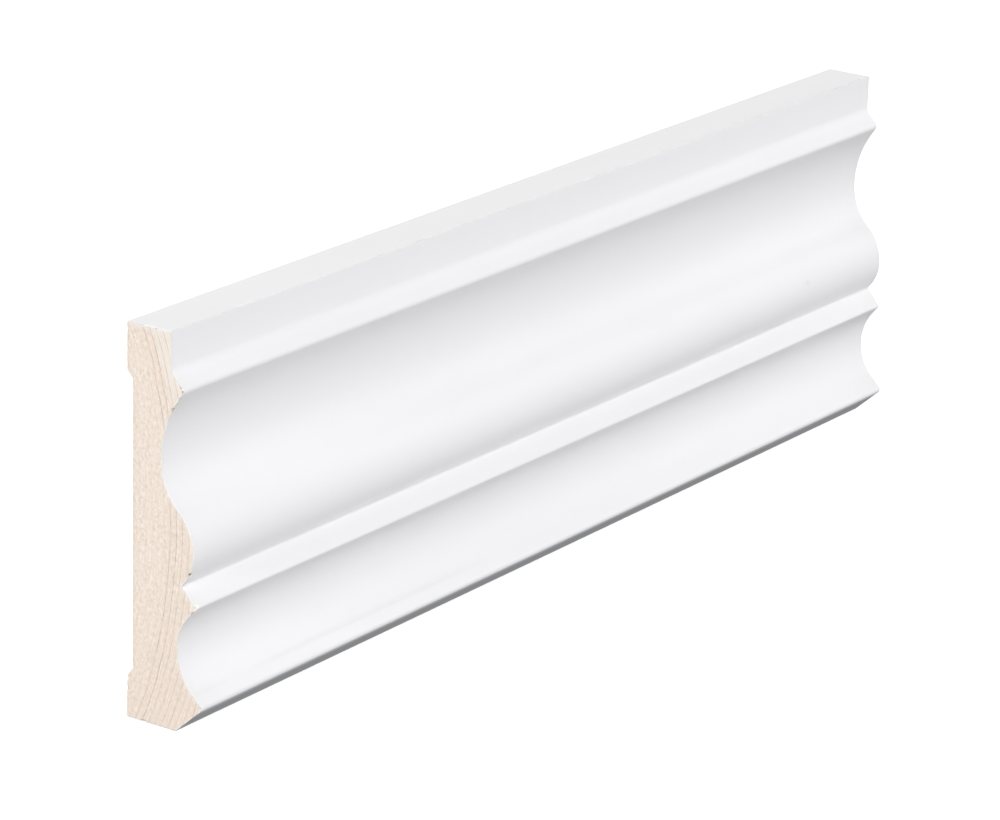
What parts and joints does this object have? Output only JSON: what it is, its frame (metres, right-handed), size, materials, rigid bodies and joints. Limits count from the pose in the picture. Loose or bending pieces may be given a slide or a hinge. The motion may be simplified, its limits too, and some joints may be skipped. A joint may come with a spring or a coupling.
{
  "type": "door casing",
  "caption": "Straight length of primed pine door casing: flat fillet, long cove and bulge, second cove and nosed thick edge in front, hollowed back between two lands, both ends sawn square.",
  "frame": {"origin": "middle of the footprint of the thick edge that the casing stands on, halfway along the length", "axes": "+X along the length, +Y out of the back, so that the moulded face looks to -Y, +Z from the thick edge up to the thin edge"},
  "size_m": [0.2794, 0.0202, 0.0889],
  "materials": {
    "primed_pine": "white primer, satin, on face and edges; bare sawn pine on ends and bare planed pine on the back"
  },
  "bodies": {
    "root": {"casing": "primed_pine"}
  },
  "joints": []
}
